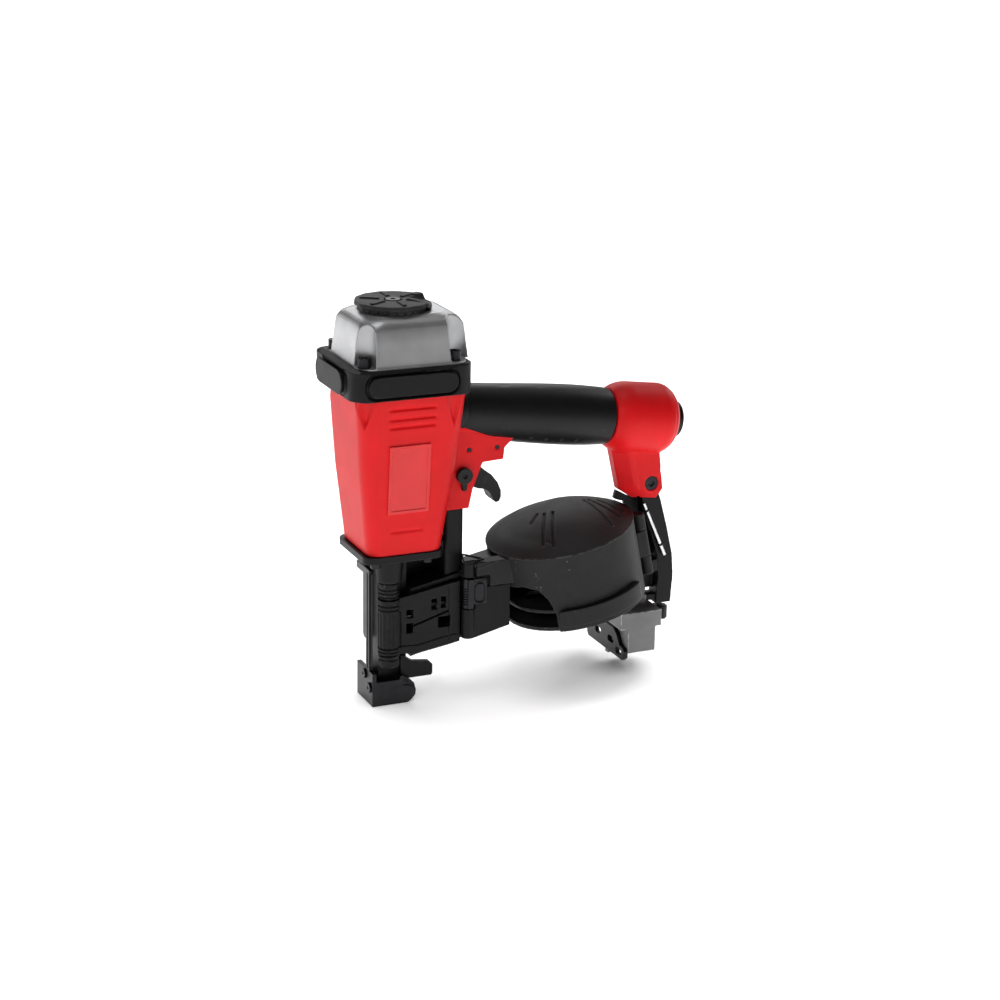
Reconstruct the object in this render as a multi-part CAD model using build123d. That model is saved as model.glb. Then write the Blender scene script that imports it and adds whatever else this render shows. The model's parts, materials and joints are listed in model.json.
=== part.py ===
from build123d import *
from math import cos, radians, sin
import os

# A pneumatic coil roofing nailer. The driver axis is Z, and the origin is where that axis meets the
# plane under the contact foot. +X runs along the handle to the air inlet, and -Y is the door side.

# ---------------------------------------------------------------- driving dimensions (mm, degrees)
FLANGE_Z = 107.0                    # underside of the nose flange
HOUSING_Z = (112.0, 165.0, 222.0)   # bottom, waist and shoulder of the tapered housing
HOUSING_TOP = 238.5
HOUSING_X = ((-25.0, 28.0), (-30.5, 36.0), (-34.0, 43.0))
HOUSING_HALF_Y = (28.0, 33.0, 37.0)
HOUSING_CORNER = (9.0, 11.0, 13.0)
CAVITY_R = (22.0, 28.0, 31.0)       # air chamber: bottom, below the sleeve seat, above it
GASKET_T = 1.0
CAP_SHOULDER_Z = (266.0, 271.0)     # where the head's walls start to turn in, and where its top starts
CAP_TOP_Z = 273.5
BOLT_X = (-29.0, 34.0)
BOLT_HALF_Y = 28.0
EXHAUST_X = 1.5
SKIRT_R = 23.5                      # exhaust deflector: skirt and brim
BRIM_Z = (276.8, 279.5)
BRIM_R = 25.6

PISTON_STROKE = 72.0
BORE_R = 19.2
SLEEVE_R = 21.5
BLADE_R = 2.5
BLADE_TIP_Z = 86.0
FIT = 0.06                          # radial clearance of a running fit

HANDLE_DROOP = 7.5
HANDLE_POINT = (100.0, 0.0, 193.0)  # a point on the handle axis
CORE_R = 17.0
CORE_BORE_R = 13.0
CORE_END = 60.0                     # along the handle axis, from HANDLE_POINT
SEAL_T = 1.0
END_CAP_END = 111.0

CHEEK_HALF_Y = 13.0
TRIGGER_SLOT = 7.5                  # half width of the slot between the trigger cheeks
TRIGGER_PIVOT = (47.6, 158.0)       # X, Z
PLUNGER_X = 62.0

FOOT_TRAVEL = 10.0
ROD_X = 42.4                        # vertical rod at the rear end of the contact arm
ROD_R = 3.0
STRAP_Z = (91.5, 96.5)

HINGE_X, HINGE_Y = -6.0, -13.5      # door hinge
DOOR_Y = (-18.0, -15.0)
DOOR_END_X = 44.4
LATCH_X, LATCH_Y = 49.3, -20.0
NAIL_R = 5.5                        # drive channel, wide enough for a roofing nail's head

COIL_TILT = 12.0
COIL_CENTRE = (124.3, -4.0, 109.3)  # centre of the canister's rim
CAN_R = 52.0
CAN_WALL = 2.5
CAN_DEPTH = 56.0
DOME_H = 14.5
COVER_HINGE = (55.5, -12.0)         # in the canister's own plane

BRACKET_HOLE = (192.0, 136.0)       # X, Z


# ---------------------------------------------------------------- shape helpers
def block(x0, x1, y0, y1, z0, z1):
    """A plain block given by its six limits."""
    middle = Pos((x0 + x1) / 2, (y0 + y1) / 2, (z0 + z1) / 2)
    return middle * Box(x1 - x0, y1 - y0, z1 - z0)


def rod(radius, start, end):
    """A round rod from one point to another."""
    start, along = Vector(*start), Vector(*end) - Vector(*start)
    standing = Cylinder(radius, along.length, align=(Align.CENTER, Align.CENTER, Align.MIN))
    return Plane(origin=start, z_dir=along) * standing


def post(radius, x, y, z0, z1):
    """An upright rod."""
    return rod(radius, (x, y, z0), (x, y, z1))


def side_plate(outline, y0, y1):
    """An outline in X and Z with its thickness from y0 to y1."""
    face = Plane(origin=(0, y1, 0), x_dir=(1, 0, 0), z_dir=(0, -1, 0)) * Polygon(*outline, align=None)
    return extrude(face, amount=y1 - y0, dir=(0, -1, 0))


def section(z, x_limits, half_y, corner):
    """A rounded rectangle lying at height z."""
    x0, x1 = x_limits
    return Pos((x0 + x1) / 2, 0, z) * RectangleRounded(x1 - x0, 2 * half_y, corner)


def prism(z0, z1, x_limits, half_y, corner):
    """An upright rounded block."""
    return extrude(section(z0, x_limits, half_y, corner), amount=z1 - z0)


def spring(mean_r, wire_r, pitch, length):
    """A coil spring standing on the XY plane."""
    coil = Helix(pitch, length - 2 * wire_r, mean_r)
    wire = Plane(origin=coil @ 0, z_dir=coil % 0) * Circle(wire_r)
    return Pos(0, 0, wire_r) * sweep(wire, path=coil)


def sector(radius, a0, a1, h0, h1):
    """A wedge of a disc between two angles, from height h0 to h1."""
    steps = max(2, round((a1 - a0) / 20))
    angles = [radians(a0 + (a1 - a0) * i / steps) for i in range(steps + 1)]
    reach = radius / cos((angles[1] - angles[0]) / 2)
    outline = [(0, 0)] + [(reach * cos(a), reach * sin(a)) for a in angles]
    return extrude(Pos(0, 0, h0) * Polygon(*outline, align=None), amount=h1 - h0)


def ring(outer_r, inner_r, z0, z1):
    """A flat ring about the Z axis."""
    return post(outer_r, 0, 0, z0, z1) - post(inner_r, 0, 0, z0, z1)


HANDLE_AXIS = Vector(cos(radians(HANDLE_DROOP)), 0, -sin(radians(HANDLE_DROOP)))
HANDLE = Plane(origin=HANDLE_POINT, x_dir=(0, 1, 0), z_dir=HANDLE_AXIS)
CAN = Plane(origin=COIL_CENTRE, x_dir=(cos(radians(COIL_TILT)), 0, sin(radians(COIL_TILT))),
            z_dir=(-sin(radians(COIL_TILT)), 0, cos(radians(COIL_TILT))))


def along_handle(radius, s0, s1):
    """A round bar on the handle axis, between two distances from HANDLE_POINT."""
    return HANDLE * post(radius, 0, 0, s0, s1)


def four_bolts(radius, z0, z1):
    """Upright rods at the four cap bolt places."""
    places = [(x, y) for x in BOLT_X for y in (-BOLT_HALF_Y, BOLT_HALF_Y)]
    return [post(radius, x, y, z0, z1) for x, y in places]


# ---------------------------------------------------------------- housing and head
BADGE_X = (-14.0, 15.0)
BADGE_Z = (142.0, 189.5)
BADGE_T = 1.2
COLLAR = (HOUSING_X[2], HOUSING_HALF_Y[2], HOUSING_CORNER[2])
VALVE_R = 7.5
VALVE_Z = (168.0, 184.0)
NOSE_BOLTS = [(x, y) for x in (-18.5, 18.5) for y in (-21.5, 21.5)]
PIN_SPOTS = ((52.0, 175.0), (72.5, 175.0))
GROOVE_Z = (214.4, 207.8, 202.2)    # the three grooves above the name plate


def housing_skin(inset=0.0):
    """The tapered outside of the housing, drawn in by inset."""
    levels = zip(HOUSING_Z, HOUSING_X, HOUSING_HALF_Y, HOUSING_CORNER)
    cuts = [section(z, (x[0] + inset, x[1] - inset), y - inset, r) for z, x, y, r in levels]
    return loft(cuts[:2], ruled=True) + loft(cuts[1:], ruled=True)


def trigger_cheeks():
    """The web under the handle that the trigger hangs in."""
    outline = [(20, 200), (60, 192), (84, 184), (84, 179.5), (78, 174), (77.3, 166), (62, 165.3),
               (55, 147.3), (52.2, 134), (24, 134)]
    return side_plate(outline, -CHEEK_HALF_Y, CHEEK_HALF_Y)


def make_housing():
    body = housing_skin() + prism(HOUSING_Z[2], HOUSING_TOP, *COLLAR)
    body += along_handle(CORE_R, -75, CORE_END - SEAL_T) + trigger_cheeks()
    chamber = Pos(0, 0, 118) * Cone(CAVITY_R[0], CAVITY_R[1], HOUSING_Z[2] - 118,
                                    align=(Align.CENTER, Align.CENTER, Align.MIN))
    body -= chamber + post(CAVITY_R[2], 0, 0, HOUSING_Z[2], HOUSING_TOP)
    body -= post(12, 0, 0, HOUSING_Z[0], 118)
    body -= along_handle(CORE_BORE_R, -75, CORE_END)
    body -= block(36, 90, -TRIGGER_SLOT, TRIGGER_SLOT, 130, VALVE_Z[0])
    body -= post(VALVE_R, PLUNGER_X, 0, VALVE_Z[0], VALVE_Z[1] + 4)
    pivot_x, pivot_z = TRIGGER_PIVOT
    body -= rod(2.5 + FIT, (pivot_x, -CHEEK_HALF_Y, pivot_z), (pivot_x, CHEEK_HALF_Y, pivot_z))
    for pin in make_housing_pins():
        body -= pin
    for hole in four_bolts(2.5, 228, HOUSING_TOP):
        body -= hole
    for x, y in NOSE_BOLTS:
        body -= post(2.0, x, y, HOUSING_Z[0], HOUSING_Z[0] + 5)
    for z in GROOVE_Z:
        body -= grooves_at(z, -13.5, 17.5)
    body -= grooves_at(129.0, -10.5, 11.0)
    return body


def face_y(z):
    """How far the housing's side stands from the middle plane at height z."""
    low, high = (0, 1) if z < HOUSING_Z[1] else (1, 2)
    share = (z - HOUSING_Z[low]) / (HOUSING_Z[high] - HOUSING_Z[low])
    return HOUSING_HALF_Y[low] + share * (HOUSING_HALF_Y[high] - HOUSING_HALF_Y[low])


def grooves_at(z, x0, x1):
    """The same shallow groove in both sides of the housing."""
    y = face_y(z)
    near = block(x0, x1, -y - 1, -y + 0.8, z - 0.7, z + 0.7)
    return near + mirror(near, about=Plane.XZ)


def make_badge():
    """A blank raised name plate on the door side, following the housing's slope."""
    band = block(*BADGE_X, -60, 0, *BADGE_Z)
    plate = (housing_skin(-BADGE_T) - housing_skin()) & band
    window = block(BADGE_X[0] + 2, BADGE_X[1] - 2, -60, 0, BADGE_Z[0] + 2, BADGE_Z[1] - 2)
    return plate - (window & (housing_skin(-BADGE_T) - housing_skin(-0.6)))


def make_housing_pins():
    return [rod(1.5, (x, -CHEEK_HALF_Y, z), (x, CHEEK_HALF_Y, z)) - block(
        36, 90, -TRIGGER_SLOT, TRIGGER_SLOT, 130, VALVE_Z[0]) for x, z in PIN_SPOTS]


def make_bumper_guard():
    """The rubber guard round the top of the housing, with a proud oval pad on three sides."""
    front_wall, side_wall, rear_wall = 6.8, 4.5, 1.5
    (x0, x1), half_y, corner = COLLAR
    low, high = HOUSING_Z[2], HOUSING_TOP + 3.5
    middle_z = (low + high) / 2
    guard = prism(low, high, (x0 - front_wall, x1 + rear_wall), half_y + side_wall, corner)
    for side in (-1, 1):
        face = Plane(origin=(0, side * (half_y + side_wall), middle_z), x_dir=(-side, 0, 0), z_dir=(0, side, 0))
        guard += extrude(face * RectangleRounded(62, 14, 6.9), amount=1.8, both=True)
    front = Plane(origin=(x0 - front_wall, 0, middle_z), x_dir=(0, 1, 0), z_dir=(-1, 0, 0))
    guard += extrude(front * RectangleRounded(50, 17, 8.4), amount=3.0, both=True)
    return guard - prism(low, high, *COLLAR)


def make_cap():
    """The cast head, fluted at its corners to clear the bolt heads."""
    base = HOUSING_TOP + GASKET_T
    (x0, x1), half_y, corner = COLLAR
    cap = prism(base, base + 3, *COLLAR)
    levels = [section(base + 3, (x0, x1 + 2), half_y - 1, corner),
              section(CAP_SHOULDER_Z[0], (x0 + 3, x1), half_y - 5, corner),
              section(CAP_SHOULDER_Z[1], (x0 + 6.5, x1 - 3.5), half_y - 9, corner),
              section(CAP_TOP_Z, (x0 + 12.5, x1 - 10), half_y - 15, corner)]
    for lower, upper in zip(levels, levels[1:]):
        cap += loft([lower, upper])
    flute_r, flute_out = 9.0, 2.5
    for x, out in zip(BOLT_X, (-flute_out, flute_out)):
        for side in (-1, 1):
            cap -= post(flute_r, x + out, side * (BOLT_HALF_Y + flute_out), base + 3, CAP_TOP_Z)
    for hole in four_bolts(2.5, base, base + 3):
        cap -= hole
    cap -= post(27.0, 0, 0, base, 261)
    cap -= post(8.0, 0, 0, 261, CAP_TOP_Z - 2.5)
    reach = 12.5
    for angle in range(0, 360, 60):
        x, y = EXHAUST_X + reach * cos(radians(angle)), reach * sin(radians(angle))
        cap -= post(2.5, x, y, 261, CAP_TOP_Z)
    return cap - post(2.0, EXHAUST_X, 0, CAP_TOP_Z - 2.5, CAP_TOP_Z)


def make_cap_gasket():
    top = HOUSING_TOP + GASKET_T
    gasket = prism(HOUSING_TOP, top, *COLLAR) - post(30.0, 0, 0, HOUSING_TOP, top)
    for hole in four_bolts(2.5, HOUSING_TOP, top):
        gasket -= hole
    return gasket


def make_cap_bolts():
    seat = HOUSING_TOP + GASKET_T + 3
    bolts = []
    for shank, head, socket in zip(four_bolts(2.5, 228, seat), four_bolts(4.2, seat, seat + 6.5),
                                   four_bolts(2.0, seat + 3, seat + 6.5)):
        bolts.append(shank + head - socket)
    return bolts


def make_exhaust_deflector():
    """A shallow cup with a flared brim and one side outlet, free to turn about its screw."""
    low = CAP_TOP_Z
    under, top = BRIM_Z
    cup = post(SKIRT_R, 0, 0, low, under) + post(BRIM_R, 0, 0, under, top)
    cup -= post(SKIRT_R - 2.5, 0, 0, low, under)
    for angle in range(-165, 0, 15):
        cup -= post(1.2, (SKIRT_R + 0.3) * cos(radians(angle)), (SKIRT_R + 0.3) * sin(radians(angle)), low, under)
    cup -= block(15, BRIM_R, -8, 8, low, under - 0.8)
    cup -= post(6.0, 0, 0, top - 2, top)
    cup += ring(4.0, 2.0 + FIT, low, under)
    cup -= post(2.0 + FIT, 0, 0, under, top)
    for angle in range(30, 360, 60):
        cup += Rot(0, 0, angle) * block(9, 22, -1.2, 1.2, top, top + 1)
    return Pos(EXHAUST_X, 0, 0) * cup


def make_exhaust_screw():
    seat = BRIM_Z[1] - 1.8
    screw = post(2.0, 0, 0, CAP_TOP_Z - 2.5, seat) + post(5.0, 0, 0, seat, seat + 2.2)
    return Pos(EXHAUST_X, 0, 0) * (screw - post(1.8, 0, 0, seat + 0.8, seat + 2.2))


# ---------------------------------------------------------------- drive train inside the housing
SLEEVE_Z = (137.0, 226.0)
PISTON_Z = (209.5, 222.5)
BUMPER_TOP = PISTON_Z[0] - PISTON_STROKE - 0.5


def make_cylinder_sleeve():
    sleeve = ring(SLEEVE_R, BORE_R, *SLEEVE_Z) + ring(CAVITY_R[2] - 0.2, BORE_R, HOUSING_Z[2], SLEEVE_Z[1])
    for angle in range(0, 360, 45):
        out = Vector(cos(radians(angle)), sin(radians(angle)), 0) * (SLEEVE_R + 1)
        sleeve -= rod(1.5, (0, 0, 146), (out.X, out.Y, 146))
    return sleeve


def make_piston():
    piston = post(BORE_R - FIT, 0, 0, *PISTON_Z) - post(13.0, 0, 0, PISTON_Z[1] - 4, PISTON_Z[1])
    return piston - ring(BORE_R, BORE_R - 2.2, 214, 217) - post(BLADE_R, 0, 0, PISTON_Z[0], 216)


def make_piston_ring():
    return ring(BORE_R - 0.3, BORE_R - 2.2, 214, 217)


def make_driver_blade():
    return post(BLADE_R, 0, 0, BLADE_TIP_Z, 216)


def make_bottom_bumper():
    bumper = post(18.5, 0, 0, 118, BUMPER_TOP) - post(BLADE_R + 1, 0, 0, 118, BUMPER_TOP)
    return bumper - ring(18.5, 16.5, 123, 128)


def make_head_valve():
    valve = post(24.0, 0, 0, SLEEVE_Z[1], 232) + post(27.0 - FIT, 0, 0, 232, 252)
    return valve - post(15.0, 0, 0, SLEEVE_Z[1], 229) - post(21.0, 0, 0, 234, 252)


def make_head_valve_spring():
    return Pos(0, 0, 234.2) * spring(17.0, 1.2, 5.0, 26.6)


# ---------------------------------------------------------------- handle, end cap and air inlet
BRACKET_HALF_Y = 11.0
ARM_HALF_Y = 6.0
INLET_R = 5.7
BUSHING_START = 93.0
INLET_END = END_CAP_END + 6.0
INLET_DEPTH = 15.0


def make_grip():
    """A palm-swell rubber sleeve over the handle core."""
    start, end = -58.0, CORE_END - SEAL_T
    profile = Spline((19.0, start), (20.0, -10), (20.9, 20), (19.6, end))
    shape = Line((CORE_R, start), (19.0, start)) + profile
    shape += Polyline((19.6, end), (CORE_R, end), (CORE_R, start))
    sleeve = revolve(make_face(Plane.XZ * shape), axis=Axis.Z)
    sleeve = HANDLE * sleeve
    sleeve -= side_plate([(30, 150), (30, 196), (50, 190.5), (70, 182), (88, 174.5), (90, 150)], -30, 30)
    sleeve -= trigger_cheeks() + housing_skin()
    for s in range(4):
        notch = HANDLE * Pos(-14.5, -13.5, 11.6 * s - 1.5) * Cylinder(1.2, 5, rotation=(60, 0, 0))
        sleeve -= notch
    return sleeve


def make_end_cap():
    """The red end casting: a barrel on the handle axis and a forked arm down to the magazine."""
    r, end = 24.8, END_CAP_END
    neck = Line((0, CORE_END), (19.6, CORE_END)) + Spline((19.6, CORE_END), (22.4, 64), (24.2, 69), (r, 76))
    barrel = Line((r, 76), (r, end - 14)) + Spline((r, end - 14), (r - 1.7, end - 7), (19, end - 2.5), (12.5, end))
    shape = neck + barrel + Polyline((12.5, end), (0, end), (0, CORE_END))
    cap = HANDLE * revolve(make_face(Plane.XZ * shape), axis=Axis.Z)
    arm = [(160, 175), (170, 131.6), (180.5, 124.8), (196, 124.8), (200.8, 131.5), (197, 162), (190, 178)]
    arm = side_plate(arm, -BRACKET_HALF_Y, BRACKET_HALF_Y)
    front_edges = [e for e in arm.edges() if abs(e.center().Y) > 1 and e.center().X < 176]
    cap += chamfer(front_edges, 7, 9)
    cap -= along_handle(CORE_R - 2.5, CORE_END, BUSHING_START)
    cap -= along_handle(12.0, BUSHING_START, END_CAP_END)
    slot = [(183.5, 118), (183.5, 145.5), (206, 145.5), (206, 118)]
    cap -= side_plate(slot, -ARM_HALF_Y - 0.2, ARM_HALF_Y + 0.2)
    x, z = BRACKET_HOLE
    cap -= rod(3.0, (x, -BRACKET_HALF_Y, z), (x, BRACKET_HALF_Y, z))
    for side in (-1, 1):
        cap -= rod(5.2, (x, side * (BRACKET_HALF_Y - 2.5), z), (x, side * (BRACKET_HALF_Y + 1), z))
    for screw in end_screw_rods(1.6, END_CAP_END - 12, END_CAP_END + 2):
        cap -= screw
    return cap


def end_screw_rods(radius, s0, s1):
    reach = 16.0
    spots = [(reach * cos(radians(a)), reach * sin(radians(a))) for a in (45, 135, 225, 315)]
    return [HANDLE * post(radius, x, y, s0, s1) for x, y in spots]


def make_end_cap_seal():
    start = CORE_END - SEAL_T
    return along_handle(CORE_R - 0.1, start, CORE_END) - along_handle(CORE_BORE_R, start, CORE_END)


def make_air_inlet():
    """The steel bushing with the threaded air port, seated in the end cap."""
    bushing = along_handle(12.0, BUSHING_START, END_CAP_END)
    bushing += along_handle(12.5, END_CAP_END, INLET_END - 1.5)
    bushing += HANDLE * Pos(0, 0, INLET_END - 1.5) * extrude(RegularPolygon(8.6, 6), amount=1.5)
    bushing -= along_handle(INLET_R, INLET_END - INLET_DEPTH, INLET_END)
    return bushing - along_handle(3.5, BUSHING_START, INLET_END - INLET_DEPTH)


def make_end_cap_screws():
    return end_screw_rods(1.6, END_CAP_END - 12, END_CAP_END - 3.5)


# ---------------------------------------------------------------- trigger group
PLUNGER_R = 2.0
LEVER_PIN = (66.0, 150.5)
LEVER_PIN_R = 1.5


def make_trigger_valve():
    valve = post(VALVE_R, PLUNGER_X, 0, *VALVE_Z) - post(PLUNGER_R + FIT, PLUNGER_X, 0, VALVE_Z[0], 172)
    return valve - post(4.5, PLUNGER_X, 0, 172, VALVE_Z[1] - 1)


def make_trigger_plunger():
    stem = post(PLUNGER_R, PLUNGER_X, 0, 161.6, 176)
    return stem + post(4.2, PLUNGER_X, 0, 172.3, 174)


def make_plunger_spring():
    return Pos(PLUNGER_X, 0, 174) * spring(3.1, 0.5, 2.0, 9.0)


def make_trigger():
    """The curved finger trigger, slotted for the contact lever."""
    px, pz = TRIGGER_PIVOT
    outline = [(43.5, 162), (62, 161.4), (66.5, 157.5), (71.3, 154), (76.0, 148.0), (78.5, 142),
               (78.6, 137.4), (77.2, 134.4), (74.8, 133.8), (72.6, 135.8), (71.2, 139.4), (69, 142.4),
               (66, 144.4), (61.8, 145), (52, 149), (44.5, 152.5)]
    trigger = side_plate(outline, -6.8, 6.8)
    trigger -= rod(2.5 + FIT, (px, -8, pz), (px, 8, pz))
    trigger -= block(40, 69.5, -2.6, 2.6, 144, 156)
    x, z = LEVER_PIN
    return trigger - rod(LEVER_PIN_R, (x, -6.8, z), (x, 6.8, z))


def make_lever_pin():
    x, z = LEVER_PIN
    return rod(LEVER_PIN_R, (x, -6.8, z), (x, 6.8, z))


def make_trigger_lever():
    x, z = LEVER_PIN
    lever = side_plate([(39.5, 149), (60, 149), (66, 148), (68.5, 150.5), (66, 152.5), (39.5, 151.5)], -2, 2)
    return lever - rod(LEVER_PIN_R + FIT, (x, -3, z), (x, 3, z))


def make_mode_selector():
    """A knob with a pointer, whose shaft is the trigger's pivot."""
    x, z = TRIGGER_PIVOT
    near = -CHEEK_HALF_Y - 0.3
    knob = rod(2.5, (x, near, z), (x, CHEEK_HALF_Y + 1.5, z)) + rod(5.5, (x, near - 4, z), (x, near, z))
    pointer = side_plate([(x - 2.8, z), (x + 2.8, z), (x + 1.2, z - 10.5), (x - 1.2, z - 10.5)],
                         near - 3.2, near)
    return knob + pointer - rod(1.6, (x, near - 4, z), (x, near - 2.5, z))


# ---------------------------------------------------------------- nose and contact arm
NOSE_X = (-11.0, 9.5)
NOSE_Y = (-6.5, 12.0)
NOSE_END_Z = 14.0
PIN_R = 2.5
COLUMN_X = (35.5, 49.3)
COLUMN_HALF_Y = 11.5
COLUMN_Z = (87.0, 133.8)
DIAL_R = 9.8
DIAL_Z = (115.0, 127.0)
SPRING_ROOM = (6.5, 112.0)          # radius and roof of the contact spring's chamber
RIVET_SPOTS = ((0.5, 19.8), (-9.0, 12.5))    # Y, Z on the foot's front plate


def make_nose_body():
    """Flange, driver guide, upper hinge boss and lower knuckle in one steel casting."""
    nose = prism(FLANGE_Z, HOUSING_Z[0], (-28, 29.5), 29, 8)
    nose += block(20, COLUMN_X[0], -9, 9, FLANGE_Z, HOUSING_Z[0])
    nose += block(*NOSE_X, *NOSE_Y, NOSE_END_Z, FLANGE_Z)
    boss = Cone(8.8, 10.2, FLANGE_Z - 90, align=(Align.CENTER, Align.CENTER, Align.MIN))
    nose += Pos(HINGE_X, HINGE_Y, 90) * boss + post(7.2, HINGE_X, HINGE_Y, 78, 90)
    nose += block(HINGE_X, 1, HINGE_Y, NOSE_Y[0], 78, FLANGE_Z)
    nose += block(NOSE_X[1] - 1, COLUMN_X[0] - 0.1, TRACK_FAR_Y[1] + 0.2, NOSE_Y[1], 79, FLANGE_Z + 1)
    nose += block(33, 38, COLUMN_HALF_Y + 0.15, COLUMN_HALF_Y + 1.7, 84, FLANGE_Z + 1)
    nose += post(7.2, HINGE_X, HINGE_Y, 29, 37) + block(NOSE_X[0], 1, HINGE_Y, NOSE_Y[0], 29, 37)
    tooth = [(4, 18), (9, 16), (26.5, 16), (27.5, 17.5), (27.5, 24), (25.5, 26), (14, 27.5), (4, 34)]
    nose += side_plate(tooth, -10.8, -5)
    nose -= post(8.0, HINGE_X, HINGE_Y, 37, 78)
    nose -= post(NAIL_R, 0, 0, NOSE_END_Z, 88) + post(BLADE_R + FIT, 0, 0, 88, HOUSING_Z[0])
    nose -= block(0, NOSE_X[1], -NAIL_R, NAIL_R, 36, 85)
    nose -= post(PIN_R, HINGE_X, HINGE_Y, 31, 88)
    for x, y in NOSE_BOLTS:
        nose -= post(2.0, x, y, FLANGE_Z, HOUSING_Z[0])
    return nose


def make_nose_bolts():
    bolts = []
    for x, y in NOSE_BOLTS:
        bolt = post(2.0, x, y, FLANGE_Z, HOUSING_Z[0] + 5) + post(3.6, x, y, FLANGE_Z - 4, FLANGE_Z)
        bolts.append(bolt - post(1.6, x, y, FLANGE_Z - 4, FLANGE_Z - 2))
    return bolts


def make_arm_housing():
    """The column that guides the contact arm's rod and holds its spring and the depth dial."""
    column = block(*COLUMN_X, -COLUMN_HALF_Y, COLUMN_HALF_Y, *COLUMN_Z)
    column = fillet(column.edges().filter_by(Axis.Z), 3)
    column -= side_plate([(30, 80), (55, 80), (55, rail_z(55) + 3.05), (30, rail_z(30) + 3.05)], -12, 12)
    column -= post(ROD_R + FIT, ROD_X, 0, *COLUMN_Z) + post(SPRING_ROOM[0], ROD_X, 0, 80, SPRING_ROOM[1])
    column -= block(ROD_X - 5, ROD_X + 5, 0, 12, 80, STRAP_Z[1] + FOOT_TRAVEL + 0.5)
    column -= post(DIAL_R + 0.4, ROD_X, 0, *DIAL_Z)
    return column - block(TRIGGER_PIVOT[0] - 12, 52, -TRIGGER_SLOT, TRIGGER_SLOT, 131, 134)


def make_depth_dial():
    dial = post(DIAL_R, ROD_X, 0, DIAL_Z[0] + 0.3, DIAL_Z[1] - 0.3)
    for angle in range(0, 360, 20):
        x, y = ROD_X + DIAL_R * cos(radians(angle)), DIAL_R * sin(radians(angle))
        dial -= post(0.9, x, y, *DIAL_Z)
    return dial - post(ROD_R + FIT, ROD_X, 0, *DIAL_Z)


def make_contact_foot():
    """The claw-shaped foot that straddles the nose."""
    cheek = [(-15, 0), (8, 0), (11, 2), (13.5, 5), (13.9, 8.5), (12.6, 13.5), (9, 17.3), (3.6, 20.6),
             (2.4, 19.6), (1.8, 17.6), (-15, 17.6)]
    foot = side_plate(cheek, -14.5, -11.6) + side_plate(cheek, 12.5, 15.4)
    foot += block(-18, -15, -14.5, 15.4, 0, 24) + block(-15, -8, -11.6, 12.5, 0, 3)
    for y, z in RIVET_SPOTS:
        foot -= rod(2.0, (-18, y, z), (-15, y, z))
    return foot


def make_foot_rivets():
    rivets = []
    for y, z in RIVET_SPOTS:
        rivet = rod(2.0, (-18, y, z), (-15, y, z)) + rod(3.6, (-19.4, y, z), (-18, y, z))
        rivets.append(rivet - rod(1.2, (-19.4, y, z), (-18.6, y, z)))
    return rivets


def make_contact_arm():
    """The bar from the foot up the front, round the far side and up through the column."""
    z0, z1 = STRAP_Z
    arm = block(-18, -15.2, -8, -1.5, 24, z1) + block(-18, -15.2, -8, 16.5, z0, z1)
    arm += block(-18, ROD_X + 4, 13.5, 16.5, z0, z1) + block(ROD_X - 4, ROD_X + 4, -3, 16.5, z0, z1)
    return arm + post(ROD_R, ROD_X, 0, z0, 137.0)


def make_contact_spring():
    length = SPRING_ROOM[1] - STRAP_Z[1]
    return Pos(ROD_X, 0, STRAP_Z[1]) * spring(4.6, 0.7, 2.9, length)


def make_arm_guide():
    """The fixed plate hanging from the flange behind the front bar."""
    plate = block(-14.8, -12.2, 5, 12.8, 42, FLANGE_Z)
    return fillet(plate.edges().filter_by(Axis.X).group_by(Axis.Z)[0], 3.5)


# ---------------------------------------------------------------- door, feed track and feeder
TRACK_X = (9.6, 80.0)
TRACK_FAR_Y = (6.5, 9.5)


def rail_z(x):
    """Underside of the top rail of the feed track."""
    return 79.0 + 0.2 * (x - TRACK_X[0])


def floor_z(x):
    """Underside of the feed track's floor."""
    return 33.0 + 0.235 * (x - TRACK_X[0])


def strip(x0, x1, low, high, y0, y1):
    """A sloping strip between two height functions."""
    return side_plate([(x0, low(x0)), (x1, low(x1)), (x1, high(x1)), (x0, high(x0))], y0, y1)


FEED_Y, FEED_Z = 21.0, 58.0


def make_feed_track():
    """The fixed channel between nose and canister, with the latch knuckles on its near side."""
    x0, x1 = TRACK_X
    far0, far1 = TRACK_FAR_Y
    track = strip(x0, x1, floor_z, lambda x: rail_z(x) + 3, far0, far1)
    track += strip(x0, x1, rail_z, lambda x: rail_z(x) + 3, -14.0, far0)
    track += strip(x0, x1, floor_z, lambda x: floor_z(x) + 3, -14.0, far0)
    track += strip(52, x1, floor_z, lambda x: floor_z(x) + 3, LATCH_Y - 2, -14.0)
    track += strip(52, x1, floor_z, lambda x: 79.5, LATCH_Y - 2, LATCH_Y + 0.5)
    track -= post(5.0, LATCH_X, LATCH_Y, 65, 88)
    track += post(4.5, LATCH_X, LATCH_Y, 44, 65) + block(LATCH_X, 53, LATCH_Y - 2, LATCH_Y + 0.5, 44, 65)
    track += post(4.5, LATCH_X, LATCH_Y, 88, 98) + block(44.5, 50.5, LATCH_Y, -13, 88, 90)
    track -= post(2.0, LATCH_X, LATCH_Y, 46, 96)
    track += rod(10.0, (16, FEED_Y, FEED_Z), (50, FEED_Y, FEED_Z)) + block(20, 48, far1, 16, 52, 64)
    track -= rod(8.0, (16, FEED_Y, FEED_Z), (47, FEED_Y, FEED_Z))
    return track - block(x0, 30, far0 - 1, 16, 53, 63)


DOOR_WINDOWS = ((5.2, 10.2, 62.3, 68.5), (5.2, 10.2, 51.5, 58.7), (23.3, 27.7, 66.3, 74.0),
                (30.3, 34.3, 66.8, 75.0), (28.4, 37.4, 52.8, 60.6))   # X and Z limits


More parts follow.
